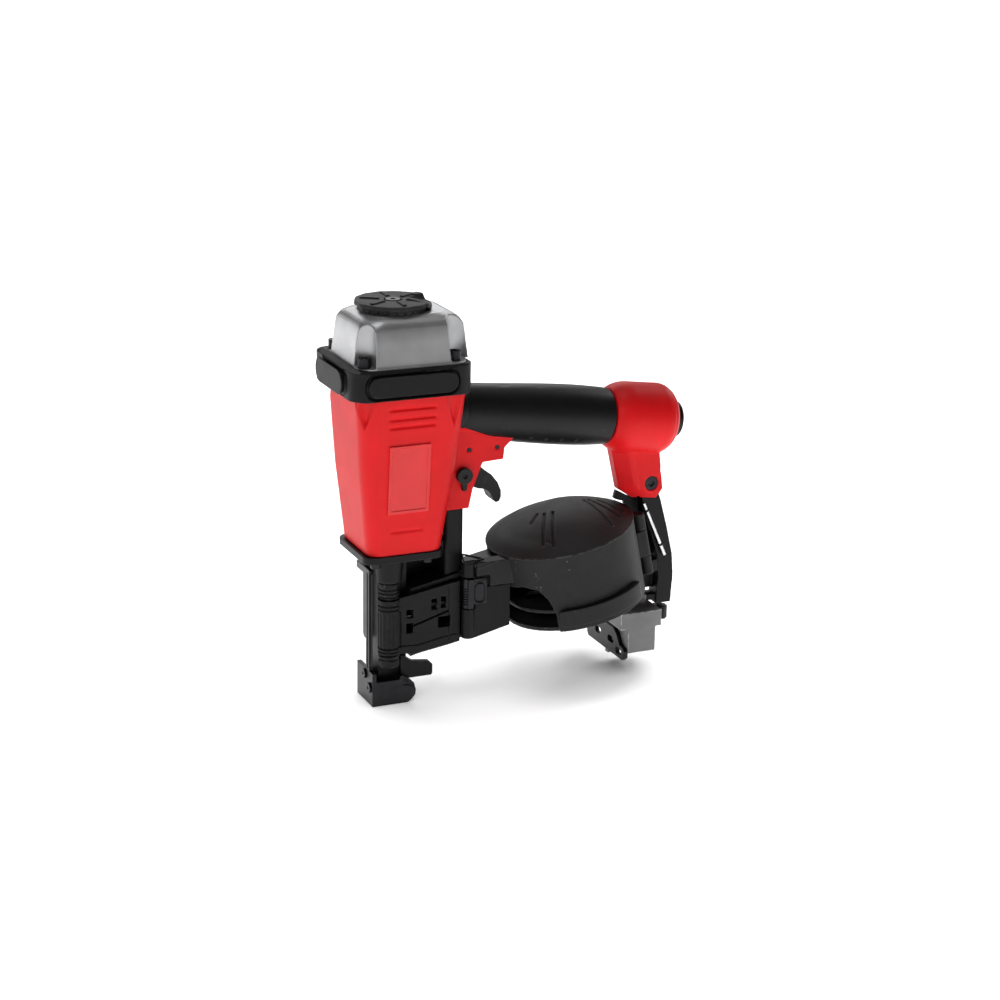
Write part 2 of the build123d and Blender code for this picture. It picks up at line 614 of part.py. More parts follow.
def make_door():
    """The nail door on its front hinge, with a latch end, windows and two inner nail guides."""
    x0 = HINGE_X + 4
    outline = [(x0, 38), (13, 36), (36, 39.5), (DOOR_END_X, 41), (DOOR_END_X, 84.5), (38, 84), (x0, 77)]
    door = side_plate(outline, *DOOR_Y)
    door += post(7.6, HINGE_X, HINGE_Y, 38, 77)
    for z in (50.0, 68.0):
        door += block(13, DOOR_END_X - 1, DOOR_Y[1], -6.2, z, z + 2.5)
    for a0, a1, z0, z1 in DOOR_WINDOWS:
        door -= block(a0, a1, *DOOR_Y, z0, z1)
    for angle in range(-200, -20, 24):
        x, y = HINGE_X + 7.9 * cos(radians(angle)), HINGE_Y + 7.9 * sin(radians(angle))
        door -= post(0.9, x, y, 42, 68)
    door -= side_plate([(9.8, 55.7), (36.3, 63.6), (36.3, 65.3), (9.8, 57.4)], DOOR_Y[0], DOOR_Y[0] + 1.8)
    return door - post(PIN_R + FIT, HINGE_X, HINGE_Y, 38, 77)


def make_door_hinge_pin():
    return post(PIN_R, HINGE_X, HINGE_Y, 31, 88)


def make_latch_pin():
    return post(2.0, LATCH_X, LATCH_Y, 46, 96)


def make_door_latch():
    """A sleeve on the latch pin with a thumb lever lying along the track."""
    latch = post(4.5, LATCH_X, LATCH_Y, 66, 87)
    latch += block(LATCH_X, 61, LATCH_Y - 5.5, LATCH_Y - 2.6, 69, 86)
    latch += block(LATCH_X - 2, LATCH_X + 2, LATCH_Y - 5.5, LATCH_Y, 66, 87)
    return latch - post(2.0 + FIT, LATCH_X, LATCH_Y, 66, 87)


def make_feed_piston():
    piston = rod(8.0 - FIT, (24, FEED_Y, FEED_Z), (31, FEED_Y, FEED_Z))
    piston += rod(2.5, (14, FEED_Y, FEED_Z), (24, FEED_Y, FEED_Z))
    return piston - rod(3.0, (29, FEED_Y, FEED_Z), (31, FEED_Y, FEED_Z))


def make_feed_pawl():
    pawl = block(10, 14, 4.5, FEED_Y + 3, FEED_Z - 3.5, FEED_Z + 3.5)
    return pawl - side_plate([(10, 50), (12.2, 50), (10, 66)], 4.5, 6.2)


def make_feed_spring():
    coil = spring(5.5, 0.7, 3.2, 16.0)
    return Plane(origin=(31, FEED_Y, FEED_Z), z_dir=(1, 0, 0)) * coil


# ---------------------------------------------------------------- magazine
FLOOR_T = 3.0
HINGE_PIN_R = 2.0
PLATFORM_H = -44.5


def near_cut(outline, reach):
    """An outline in the canister's u and h, cut from its near side."""
    face = Plane.XZ * Polygon(*outline, align=None)
    return CAN * extrude(face, amount=reach, dir=(0, -1, 0))


def make_magazine_base():
    """Canister floor and far wall, with the cover's hinge knuckles and the rear lug."""
    wall = ring(CAN_R, CAN_R - CAN_WALL, -CAN_DEPTH, -1) & sector(CAN_R + 5, -6, 158, -CAN_DEPTH, -1)
    base = wall + post(CAN_R - CAN_WALL - 0.6, 0, 0, -CAN_DEPTH, -CAN_DEPTH + FLOOR_T)
    base += post(CAN_R, 0, 0, -CAN_DEPTH, -CAN_DEPTH + FLOOR_T) & sector(CAN_R + 5, -6, 158, -CAN_DEPTH, 0)
    base += post(7.0, 0, 0, -CAN_DEPTH, -CAN_DEPTH + 8)
    hx, hy = COVER_HINGE
    for h0, h1 in ((-50, -36), (-16, -4)):
        base += post(4.0, hx, hy, h0, h1) + block(CAN_R - 2, hx, hy, hy + 8, h0, h1)
    room = post(CAN_R - CAN_WALL, 0, 0, -CAN_DEPTH + FLOOR_T, 0)
    base -= room - post(7.0, 0, 0, -CAN_DEPTH, -CAN_DEPTH + 8)
    base -= post(HINGE_PIN_R, hx, hy, -50, -4)
    base -= post(4.0, 0, 0, -CAN_DEPTH, -CAN_DEPTH + 8)
    base += block(CAN_R - 2, CAN_R + 20, -2, 10, -CAN_DEPTH, -CAN_DEPTH + 9)
    base = CAN * base
    base -= block(TRACK_X[1] - 12, TRACK_X[1] + 0.01, -30, TRACK_FAR_Y[1], 30, 100)
    return base - side_plate(arm_outline(0.05), -ARM_HALF_Y - 0.05, ARM_HALF_Y + 0.05)


def make_platform_post():
    return CAN * (post(4.0, 0, 0, -CAN_DEPTH, -10))


def make_coil_platform():
    plate = ring(45.0, 4.0 + FIT, PLATFORM_H, PLATFORM_H + 2.5)
    plate += ring(8.0, 4.0 + FIT, PLATFORM_H - 3.3, PLATFORM_H)
    for angle in range(0, 360, 60):
        plate -= post(6.0, 28 * cos(radians(angle)), 28 * sin(radians(angle)), PLATFORM_H, PLATFORM_H + 3)
    return CAN * plate


def make_magazine_cover():
    """Domed lid and near wall in one moulding, with an arched window towards the nose."""
    ball = (CAN_R ** 2 + DOME_H ** 2) / (2 * DOME_H)
    dome = Pos(0, 0, DOME_H - ball) * (Sphere(ball) - Sphere(ball - CAN_WALL))
    dome &= post(CAN_R, 0, 0, 0, DOME_H + 1)
    rim = ring(CAN_R, CAN_R - CAN_WALL, -0.6, 3) & (Pos(0, 0, DOME_H - ball) * Sphere(ball))
    wall = ring(CAN_R, CAN_R - CAN_WALL, -CAN_DEPTH + 0.5, 0) & sector(CAN_R + 5, -168, -14, -CAN_DEPTH, 0)
    cover = dome + rim + wall
    hx, hy = COVER_HINGE
    cover += post(4.0, hx, hy, -35.7, -16.3) + block(CAN_R - 5, hx, hy - 4, hy + 1, -35.7, -16.3)
    cover -= post(CAN_R - CAN_WALL, 0, 0, -CAN_DEPTH, -0.6)
    cover -= post(HINGE_PIN_R + FIT, hx, hy, -36, -16)
    cover = CAN * cover
    window = [(-80, -60), (-80, -24), (-50, -23.5), (-44, -21.5), (-37, -23.5), (-32, -32), (-29.3, -43),
              (-29.3, -60)]
    cover -= near_cut(window, 70)
    neck = side_plate([(54, 88.5), (64, 88.5), (64, 80.5), (82, 80.5), (82, 98), (54, 98)], -24.0, -14.5)
    neck -= side_plate([(50, 70), (90, 70), (90, 95.5), (50, 95.5)], -21.5, -10)
    can = CAN * post(CAN_R - CAN_WALL, 0, 0, -60, 0)
    return cover + (neck - can - CAN * post(CAN_R + 0.01, 0, 0, 0, 30))


def make_cover_hinge_pin():
    hx, hy = COVER_HINGE
    return CAN * post(HINGE_PIN_R, hx, hy, -50, -4)


def make_cover_pad():
    """The long rounded finger pad low on the cover's near side."""
    half, middle, start, end = 6.0, -44.5, -118.0, -53.0
    spread = sector(CAN_R + 8, start, end, middle - half, middle + half)
    for angle in (start, end):
        reach = (CAN_R + 8) * cos(radians(angle)), (CAN_R + 8) * sin(radians(angle))
        spread += rod(half, (0, 0, middle), (*reach, middle))
    return CAN * (ring(CAN_R + 4.0, CAN_R, middle - half, middle + half) & spread)


# ---------------------------------------------------------------- rear support and shingle guide
GUIDE_RAIL_Z = (46.5, 51.0)
RUNNER_Z = (5.5, 34.0)              # far-side runner that the tool rests on


def arm_outline(grow=0.0):
    """Side view of the support arm, grown by a clearance where a neighbour is cut to it."""
    return [(187 - grow, 128), (189 - grow, 112), (196 - grow, 96), (201 - grow, 80), (202.5 - grow, 64),
            (201 - grow, 44 - grow), (213 + grow, 44 - grow), (214.3 + grow, 64), (213 + grow, 80),
            (207.9 + grow, 101.4), (202.2 + grow, 121.8), (199 + grow, 130)]


def make_support_arm():
    x, z = BRACKET_HOLE
    arm = side_plate(arm_outline(), -ARM_HALF_Y, ARM_HALF_Y)
    arm += rod(8.0, (x, -ARM_HALF_Y, z), (x, ARM_HALF_Y, z))
    arm += block(150, 202, -5, 5, *GUIDE_RAIL_Z)
    web_y = (2.0, ARM_HALF_Y)
    arm += side_plate([(171, 129.6), (180.7, 124.1), (190, 124.1), (198, 96), (203, 79.8), (187, 76.2),
                       (177.3, 120.9), (174, 121.6), (169.5, 123.4)], *web_y)
    arm += side_plate([(189, 54), (203, 54), (203, 68), (189, 65.0)], *web_y)
    arm -= rod(3.0, (x, -ARM_HALF_Y, z), (x, ARM_HALF_Y, z))
    return arm - post(2.0, 207, 0, 40, 50)


def make_bracket_bolt():
    x, z = BRACKET_HOLE
    seat, face = BRACKET_HALF_Y - 2.5, BRACKET_HALF_Y - 0.5
    bolt = rod(3.0, (x, -seat, z), (x, seat, z))
    bolt += rod(5.0, (x, -face, z), (x, -seat, z)) + rod(5.0, (x, seat, z), (x, face, z))
    return bolt - rod(2.2, (x, -face, z), (x, -face + 1.3, z))


def make_tie_rod():
    """The bright rod beside the support arm."""
    start, end = Vector(187.5, -8.0, 121.0), Vector(205.5, -8.0, 81.0)
    return rod(1.4, tuple(start), tuple(end))


def make_tie_rod_clips():
    """Two small posts that hold the tie rod off the arm."""
    clips = []
    for share in (0.25, 0.85):
        x, z = 187.5 + 18.0 * share, 121.0 - 40.0 * share
        clips.append(rod(1.8, (x + 1.0, -8.0, z), (x + 1.0, -ARM_HALF_Y, z)) - make_tie_rod())
    return clips


def make_guide_knob():
    knob = post(2.0, 207, 0, 40, 50) + post(6.0, 207, 0, 31, 40)
    for angle in range(0, 360, 45):
        knob -= post(1.3, 207 + 6.6 * cos(radians(angle)), 6.6 * sin(radians(angle)), 31, 40)
    return knob


def make_skid_block():
    """The grey block that slides on the rail under the canister."""
    skid = block(165, 196.8, -24, 11, 34, 46) + block(171, 192.4, -24, 11, 16, 34)
    skid += block(165, 192, -9, 9, 46, 53)
    skid -= block(160, 200, -5.3, 5.3, GUIDE_RAIL_Z[0] - 0.3, GUIDE_RAIL_Z[1] + 0.3)
    skid -= block(174, 189.5, -21, 8, 16, 31)
    return skid + block(171, 192.4, 8, 12, *RUNNER_Z)


def make_guide_plate():
    """The perforated shingle guide across the tool, fixed to the skid block's front."""
    outline = [(-24, 13), (-21, 10.5), (34, 10.5), (36, 13), (36, 30), (-6, 30), (-11, 27), (-16, 20.5),
               (-22, 19.5), (-24, 17.5)]
    plate = extrude(Plane(origin=(168, 0, 0), x_dir=(0, 1, 0), z_dir=(1, 0, 0)) * Polygon(*outline, align=None),
                    amount=3)
    for y, z in ((-15, 15.2), (-2, 20), (18, 20)):
        slot = Plane(origin=(168, y, z), x_dir=(0, 1, 0), z_dir=(1, 0, 0)) * SlotOverall(9, 4.5)
        plate -= extrude(slot, amount=3)
    return plate


# ---------------------------------------------------------------- everything, one file for each node
NODES = {
    "housing": make_housing, "badge_plate": make_badge, "housing_pins": make_housing_pins,
    "bumper_guard": make_bumper_guard, "cap": make_cap, "cap_gasket": make_cap_gasket,
    "cap_bolts": make_cap_bolts, "exhaust_deflector": make_exhaust_deflector,
    "exhaust_screw": make_exhaust_screw, "cylinder_sleeve": make_cylinder_sleeve,
    "piston": make_piston, "piston_ring": make_piston_ring, "driver_blade": make_driver_blade,
    "bottom_bumper": make_bottom_bumper, "head_valve": make_head_valve,
    "head_valve_spring": make_head_valve_spring, "grip": make_grip, "end_cap": make_end_cap,
    "end_cap_seal": make_end_cap_seal, "end_cap_screws": make_end_cap_screws, "air_inlet": make_air_inlet,
    "trigger_valve": make_trigger_valve, "trigger_plunger": make_trigger_plunger,
    "plunger_spring": make_plunger_spring, "trigger": make_trigger, "lever_pin": make_lever_pin,
    "trigger_lever": make_trigger_lever, "mode_selector": make_mode_selector, "nose_body": make_nose_body,
    "nose_bolts": make_nose_bolts, "arm_housing": make_arm_housing, "depth_dial": make_depth_dial,
    "contact_foot": make_contact_foot, "foot_rivets": make_foot_rivets, "contact_arm": make_contact_arm,
    "contact_spring": make_contact_spring, "arm_guide": make_arm_guide, "feed_track": make_feed_track,
    "door": make_door, "door_hinge_pin": make_door_hinge_pin, "latch_pin": make_latch_pin,
    "door_latch": make_door_latch, "feed_piston": make_feed_piston, "feed_pawl": make_feed_pawl,
    "feed_spring": make_feed_spring, "magazine_base": make_magazine_base,
    "platform_post": make_platform_post, "coil_platform": make_coil_platform,
    "magazine_cover": make_magazine_cover, "cover_hinge_pin": make_cover_hinge_pin,
    "cover_pad": make_cover_pad, "support_arm": make_support_arm, "bracket_bolt": make_bracket_bolt,
    "tie_rod": make_tie_rod, "tie_rod_clips": make_tie_rod_clips, "guide_knob": make_guide_knob,
    "skid_block": make_skid_block, "guide_plate": make_guide_plate,
}

os.makedirs("parts", exist_ok=True)
for name, make in NODES.items():
    made = make()
    shape = Compound(children=made) if isinstance(made, list) else made
    export_step(shape, f"parts/{name}.step")
    print(name, round(shape.volume, 1))
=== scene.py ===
import json
from math import cos, pi, radians, sin

import bmesh
import bpy
import numpy as np
from mathutils import Matrix, Vector


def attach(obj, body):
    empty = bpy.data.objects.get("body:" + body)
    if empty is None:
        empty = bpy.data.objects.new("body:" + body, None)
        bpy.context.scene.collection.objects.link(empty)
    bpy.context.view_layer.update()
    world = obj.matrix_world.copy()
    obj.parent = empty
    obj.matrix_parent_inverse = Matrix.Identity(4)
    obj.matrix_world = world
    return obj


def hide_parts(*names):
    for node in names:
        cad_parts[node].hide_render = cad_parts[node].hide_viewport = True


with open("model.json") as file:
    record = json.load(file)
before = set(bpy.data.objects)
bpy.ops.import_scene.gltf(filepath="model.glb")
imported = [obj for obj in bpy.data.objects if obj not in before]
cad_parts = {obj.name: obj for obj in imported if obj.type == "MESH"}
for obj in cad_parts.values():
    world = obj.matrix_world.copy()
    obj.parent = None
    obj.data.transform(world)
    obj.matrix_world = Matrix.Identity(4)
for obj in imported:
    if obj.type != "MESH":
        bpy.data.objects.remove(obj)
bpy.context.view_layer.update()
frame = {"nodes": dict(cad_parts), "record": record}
NODES = frame["nodes"]
BODY_OF = {node: body for body, nodes in frame["record"]["behaviour"]["bodies"].items() for node in nodes}
SLOT_OF = {part["node"]: part["material_slot"] for part in frame["record"]["subparts"]}
MM = 0.001
WELD = 0.02 * MM                    # CAD vertices closer than this are one


# ---------------------------------------------------------------- materials
class Paint:
    """A node material being put together around one Principled shader."""

    def __init__(self, name, base, rough, metal=0.0, specular=0.5, coat=0.0, coat_rough=0.1):
        self.mat = bpy.data.materials.new(name)
        self.mat.use_nodes = True
        self.tree = self.mat.node_tree
        self.shader = self.tree.nodes["Principled BSDF"]
        self.base, self.rough = base, rough
        self.shader.inputs["Metallic"].default_value = metal
        self.shader.inputs["Specular IOR Level"].default_value = specular
        self.shader.inputs["Coat Weight"].default_value = coat
        self.shader.inputs["Coat Roughness"].default_value = coat_rough
        self.coords = self.node("ShaderNodeTexCoord").outputs["Object"]
        self.height = None

    def node(self, kind, **inputs):
        made = self.tree.nodes.new(kind)
        for key, value in inputs.items():
            made.inputs[key.replace("_", " ")].default_value = value
        return made

    def link(self, out, into):
        self.tree.links.new(out, into)

    def noise(self, scale, detail=3.0, rough=0.5, stretch=None):
        made = self.node("ShaderNodeTexNoise", Scale=scale, Detail=detail, Roughness=rough)
        source = self.coords
        if stretch:
            mapping = self.node("ShaderNodeMapping", Scale=stretch)
            self.link(source, mapping.inputs["Vector"])
            source = mapping.outputs["Vector"]
        self.link(source, made.inputs["Vector"])
        return made.outputs["Fac"]

    def cells(self, scale):
        made = self.node("ShaderNodeTexVoronoi", Scale=scale)
        made.feature = "SMOOTH_F1"
        self.link(self.coords, made.inputs["Vector"])
        return made.outputs["Distance"]

    def ramp(self, source, stops):
        made = self.tree.nodes.new("ShaderNodeValToRGB")
        ramp = made.color_ramp
        while len(ramp.elements) < len(stops):
            ramp.elements.new(0.5)
        for element, (place, value) in zip(ramp.elements, stops):
            element.position = place
            element.color = value if len(value) == 4 else (*value, 1)
        self.link(source, made.inputs["Fac"])
        return made.outputs["Color"]

    def spread(self, source, low, high):
        made = self.node("ShaderNodeMapRange", To_Min=low, To_Max=high)
        self.link(source, made.inputs["Value"])
        return made.outputs["Result"]

    def mix(self, share, a, b):
        made = self.tree.nodes.new("ShaderNodeMix")
        made.data_type = "RGBA"
        for socket, value in (("A", a), ("B", b)):
            spot = [s for s in made.inputs if s.name == socket and s.type == "RGBA"][0]
            if isinstance(value, tuple):
                spot.default_value = (*value, 1)
            else:
                self.link(value, spot)
        self.link(share, made.inputs["Factor"])
        return [s for s in made.outputs if s.type == "RGBA"][0]

    def bump(self, source, distance, strength=1.0):
        made = self.node("ShaderNodeBump", Strength=strength, Distance=distance)
        self.link(source, made.inputs["Height"])
        if self.height:
            self.link(self.height, made.inputs["Normal"])
        self.height = made.outputs["Normal"]

    def finish(self, colour, roughness):
        self.link(colour, self.shader.inputs["Base Color"])
        self.link(roughness, self.shader.inputs["Roughness"])
        if self.height:
            self.link(self.height, self.shader.inputs["Normal"])
        return self.mat

    def edges(self, low=0.508, high=0.565):
        """1 on convex edges, where a highlight is painted, and 0 elsewhere, broken up by a fine noise."""
        point = self.node("ShaderNodeNewGeometry").outputs["Pointiness"]
        sharp = self.node("ShaderNodeMapRange", From_Min=low, From_Max=high)
        self.link(point, sharp.inputs["Value"])
        patch = self.ramp(self.noise(220, 4), [(0.40, (0, 0, 0)), (0.62, (1, 1, 1))])
        both = self.tree.nodes.new("ShaderNodeMath")
        both.operation = "MULTIPLY"
        self.link(sharp.outputs["Result"], both.inputs[0])
        self.link(patch, both.inputs[1])
        return both.outputs["Value"]


def shade(colour, factor):
    return tuple(min(1.0, c * factor) for c in colour)


def painted(name, base, rough, grain, depth, edge_highlight=None, **more):
    """Enamel or powder coat: faint mottling, orange peel, and an optional painted highlight on its edges.
    """
    p = Paint(name, base, rough, **more)
    mottle = p.noise(28, 4, 0.55)
    colour = p.ramp(mottle, [(0.25, shade(base, 0.90)), (0.75, shade(base, 1.08))])
    # painted highlight: convex edges are lightened to the given colour
    if edge_highlight:
        colour = p.mix(p.edges(), colour, edge_highlight)
    p.bump(p.noise(grain, 2.0, 0.5), depth)
    p.bump(p.noise(grain * 0.22, 2.0), depth * 1.5, 0.5)
    return p.finish(colour, p.spread(p.noise(70, 5, 0.6), rough - 0.05, rough + 0.07))


def moulded(name, base, rough, grain, depth, **more):
    """Plastic or rubber straight out of a spark-eroded mould, with a painted highlight on its edges."""
    p = Paint(name, base, rough, **more)
    colour = p.ramp(p.noise(40, 5, 0.6), [(0.25, shade(base, 0.82)), (0.75, shade(base, 1.22))])
    # painted highlight: convex edges are lightened to five times the base colour
    colour = p.mix(p.edges(), colour, shade(base, 5.0))
    p.bump(p.cells(grain), depth)
    p.bump(p.noise(grain * 1.7, 3.0), depth * 0.6)
    return p.finish(colour, p.spread(p.noise(55, 5, 0.6), rough - 0.06, rough + 0.08))


def steel(name, base, rough, streak=(1, 1, 30), depth=0.00002, **more):
    """Ground or oxidised steel with fine streaks and smudges."""
    p = Paint(name, base, rough, metal=1.0, **more)
    colour = p.ramp(p.noise(90, 6, 0.65), [(0.3, shade(base, 0.80)), (0.7, shade(base, 1.15))])
    p.bump(p.noise(900, 2.0, 0.5, stretch=streak), depth)
    return p.finish(colour, p.spread(p.noise(120, 5, 0.6), rough - 0.07, rough + 0.10))


def casting(name, base, rough, grain, depth, metal, **more):
    """Blasted die casting."""
    p = Paint(name, base, rough, metal=metal, **more)
    colour = p.ramp(p.noise(45, 6, 0.6), [(0.28, shade(base, 0.88)), (0.72, shade(base, 1.08))])
    p.bump(p.noise(grain, 3.0, 0.6), depth)
    p.bump(p.cells(grain * 0.5), depth * 0.7, 0.6)
    return p.finish(colour, p.spread(p.noise(80, 5, 0.6), rough - 0.05, rough + 0.08))


MATERIALS = {
    "red_paint": painted("red_paint", (0.80, 0.009, 0.012), 0.46, 900, 0.00005, specular=0.18, coat=0.02,
                         coat_rough=0.25),
    "badge_red": painted("badge_red", (0.80, 0.008, 0.010), 0.30, 700, 0.00002, specular=0.4, coat=0.2,
                         coat_rough=0.15),
    "cast_grey": casting("cast_grey", (0.46, 0.462, 0.47), 0.38, 1100, 0.00005, 0.75),
    # dark_cast gets a painted highlight on its convex edges
    "dark_cast": painted("dark_cast", (0.006, 0.006, 0.0065), 0.42, 1000, 0.00006, edge_highlight=(0.05, 0.05, 0.053),
                         specular=0.18),
    "guard_rubber": moulded("guard_rubber", (0.0065, 0.0065, 0.007), 0.48, 1500, 0.00004, specular=0.18),
    "grip_rubber": moulded("grip_rubber", (0.006, 0.006, 0.0065), 0.42, 1300, 0.00007, specular=0.26),
    "black_plastic": moulded("black_plastic", (0.018, 0.018, 0.0185), 0.55, 1600, 0.00003, specular=0.22),
    "grey_plastic": moulded("grey_plastic", (0.20, 0.202, 0.205), 0.45, 1500, 0.00004),
    "black_oxide": steel("black_oxide", (0.030, 0.030, 0.032), 0.36),
    "bright_steel": steel("bright_steel", (0.70, 0.70, 0.71), 0.22, streak=(30, 30, 1)),
    "sleeve_alloy": steel("sleeve_alloy", (0.62, 0.62, 0.63), 0.30),
    "seal_rubber": moulded("seal_rubber", (0.010, 0.010, 0.010), 0.55, 1500, 0.00003),
}


def dress(obj, slot):
    obj.data.materials.clear()
    obj.data.materials.append(MATERIALS[slot])


# ---------------------------------------------------------------- pieces with soft edges
def merged(nodes):
    """One new mesh holding copies of CAD nodes, welded."""
    mesh = bpy.data.meshes.new("copy")
    bm = bmesh.new()
    for node in nodes:
        bm.from_mesh(NODES[node].data)
    bmesh.ops.remove_doubles(bm, verts=bm.verts, dist=WELD)
    bm.to_mesh(mesh)
    bm.free()
    return mesh


def applied(obj):
    """The object's mesh with its modifiers applied."""
    graph = bpy.context.evaluated_depsgraph_get()
    mesh = bpy.data.meshes.new_from_object(obj.evaluated_get(graph))
    obj.modifiers.clear()
    old, obj.data = obj.data, mesh
    bpy.data.meshes.remove(old)
    return obj


def place(obj, nodes):
    """Colour a finished piece, put it in its CAD nodes' place and let it ride with them."""
    slot = SLOT_OF[nodes[0]]
    dress(obj, slot)
    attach(obj, BODY_OF[nodes[0]])
    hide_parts(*nodes)
    return obj


def arrays(mesh):
    """Vertex places and normals in millimetres."""
    count = len(mesh.vertices)
    points, normals = np.empty(count * 3), np.empty(count * 3)
    mesh.vertices.foreach_get("co", points)
    mesh.vertices.foreach_get("normal", normals)
    return points.reshape(-1, 3) / MM, normals.reshape(-1, 3)


def reshape(mesh, points):
    mesh.vertices.foreach_set("co", (points * MM).ravel())
    mesh.update()


def cast(name, nodes, voxel, rounds, shape):
    """A dense copy of CAD nodes with softened edges, and optional carving by shape(points, normals)."""
    obj = bpy.data.objects.new(name, merged(nodes))
    bpy.context.scene.collection.objects.link(obj)
    remesh = obj.modifiers.new("remesh", "REMESH")
    remesh.mode = "VOXEL"
    remesh.voxel_size = voxel * MM * 1
    smooth = obj.modifiers.new("smooth", "SMOOTH")
    smooth.iterations = rounds
    applied(obj)
    if shape:
        points, normals = arrays(obj.data)
        reshape(obj.data, shape(points, normals))
    obj.data.shade_smooth()
    return place(obj, nodes)


# ---------------------------------------------------------------- carving
CAN_TILT, HANDLE_DROOP = radians(12), radians(7.5)
CAN_AT = np.array((124.3, -4.0, 109.3))         # centre of the canister's rim, and its own axes
CAN_U, CAN_V = np.array((cos(CAN_TILT), 0, sin(CAN_TILT))), np.array((0, 1, 0))
CAN_H = np.array((-sin(CAN_TILT), 0, cos(CAN_TILT)))
RIM_R, DOME_H = 52.0, 14.5
DOME_BALL = (RIM_R ** 2 + DOME_H ** 2) / (2 * DOME_H)
PAD_R, PAD_ANGLES = 52.2, (-124.5, -46.5)       # the finger pad's wall and ends, round the canister
GRIP_AT = np.array((100.0, 0, 193.0))           # a point on the handle's axis, and the axis itself
GRIP_S = np.array((cos(HANDLE_DROOP), 0, -sin(HANDLE_DROOP)))
COLLAR_X, COLLAR_HALF_Y, COLLAR_Z = (-34.0, 43.0), 37.0, 222.0
GUARD_Z, GUARD_TOP_Z = 232, 238                 # middle height of the guard, and where its top starts
GROOVES = ((36.5, 214.4), (36.0, 207.8), (35.6, 202.2))     # half width and height of each body groove
HEAD_X, FLUTE_X, FLUTE_Y = 4.5, (-31.5, 36.5), 30.5
EXHAUST_X, BRIM_LOW_Z, BRIM_HIGH_Z = 1.5, 276.2, 280.4
HINGE = (-6, -13.5)                             # X and Y of the nail door's hinge
LATCH_AT = (49.3, -20.0, 67.5)                  # foot of the latch's spring


def near_line(points, start, end):
    """Each point's distance to a segment, in millimetres."""
    start, along = np.array(start, float), np.array(end, float) - np.array(start, float)
    share = np.clip((points - start) @ along / (along @ along), 0, 1)
    return np.linalg.norm(points - start - share[:, None] * along, axis=1)


def carve(points, normals, paths, width, depth):
    """Press smooth grooves of a width and depth along paths."""
    nearest = np.full(len(points), 1e9)
    for path in paths:
        for start, end in zip(path, path[1:]):
            nearest = np.minimum(nearest, near_line(points, start, end))
    return points - normals * (depth * np.exp(-(nearest / width) ** 2))[:, None]


def both_sides(paths):
    return paths + [[(x, -y, z) for x, y, z in path] for path in paths]


def oval(centre, across, up, half_across, half_up):
    """A closed stadium outline as a path of points."""
    centre, across, up = (np.array(v, float) for v in (centre, across, up))
    path = []
    for i in range(49):
        a = 2 * pi * i / 48
        shift = (half_across - half_up) * (1 if cos(a) >= 0 else -1)
        path.append(tuple(centre + across * (shift + half_up * cos(a)) + up * half_up * sin(a)))
    return path


def from_can(u, v, h):
    return tuple(CAN_AT + u * CAN_U + v * CAN_V + h * CAN_H)


def on_dome(u, v):
    return from_can(u, v, DOME_H - DOME_BALL + (DOME_BALL ** 2 - u * u - v * v) ** 0.5)


def dome_line(start, end, steps=8):
    """A path over the dome between two (u, v) places."""
    shares = [i / steps for i in range(steps + 1)]
    return [on_dome(*(a + (b - a) * t for a, b in zip(start, end))) for t in shares]


def smooth_step(value):
    value = np.clip(value, 0, 1)
    return value * value * (3 - 2 * value)


def rings(along, places, width):
    """Smooth waves of height 1 at places along an axis."""
    return sum(np.exp(-((along - at) / width) ** 2) for at in places)


def from_axis(points, centre):
    """Each point's distance from an upright axis at an X and Y."""
    return np.hypot(points[:, 0] - centre[0], points[:, 1] - centre[1])


def flute(points, middle, top_width, apex, depth):
    """How deep a V flute is at each point; it runs up both sides of the housing from its apex."""
    x, y, z = points.T
    half = top_width / 2 * np.clip((z - apex) / (COLLAR_Z - apex), 0.02, 1)
    inside = (np.abs(y) > 24) & (z < COLLAR_Z + 2)
    return inside * depth * smooth_step(1.15 - np.abs(x - middle) / half) * smooth_step((z - apex) / 7)


def shape_housing(points, normals):
    """Press the corner flutes and the grooves above and below the name plate."""
    carved = flute(points, middle=-30.0, top_width=11.5, apex=200.5, depth=2.6)
    carved += flute(points, middle=31.5, top_width=14.0, apex=198.5, depth=2.4)
    points = points - normals * carved[:, None]
    lines = [[(-13.5, -y, z), (17.5, -y, z)] for y, z in GROOVES]
    lines.append([(-10.5, -29.5, 129.0), (11.0, -29.5, 129.0)])
    return carve(points, normals, both_sides(lines), width=1.1, depth=0.6)


def shape_guard(points, normals):
    """Outline the three pads, and slope the guard's top edge down to the outside."""
    near = oval((0, -41.6, GUARD_Z), (1, 0, 0), (0, 0, 1), half_across=32.2, half_up=8.1)
    front = oval((-41.5, 0, GUARD_Z), (0, 1, 0), (0, 0, 1), half_across=26.0, half_up=9.0)
    points = carve(points, normals, both_sides([near]), width=1.0, depth=2.4)
    points = carve(points, normals, [front], width=0.8, depth=1.6)
    x, y, z = points.T
    past_ends, past_sides = np.maximum(COLLAR_X[0] - x, x - COLLAR_X[1]), np.abs(y) - COLLAR_HALF_Y
    beyond = np.maximum(past_ends, past_sides) - 0.5
    points[:, 2] -= np.clip(beyond, 0, 5) * 0.55 * (z > GUARD_TOP_Z) * (normals[:, 2] > 0.2)
    return points


def shape_cap(points, normals):
    """Round the shoulder between the head's walls and its top, away from the corner flutes."""
    x, y, z = points.T
    depth = np.zeros(len(points))
    for crease, down, up, amount in ((266, 8.0, 2.5, 0.54), (271, 2.5, 1.25, 0.43)):
        share = np.where(z < crease, (crease - z) / down, (z - crease) / up)
        depth += amount * np.clip(1 - share, 0, 1) ** 2
    away = np.minimum(*(np.hypot(x - at, np.abs(y) - FLUTE_Y) for at in FLUTE_X))
    outer = ((x - HEAD_X) * normals[:, 0] + y * normals[:, 1] > 0) & (z > 250)
    return points - normals * (outer * depth * smooth_step((away - 8.8) / 1.5))[:, None]


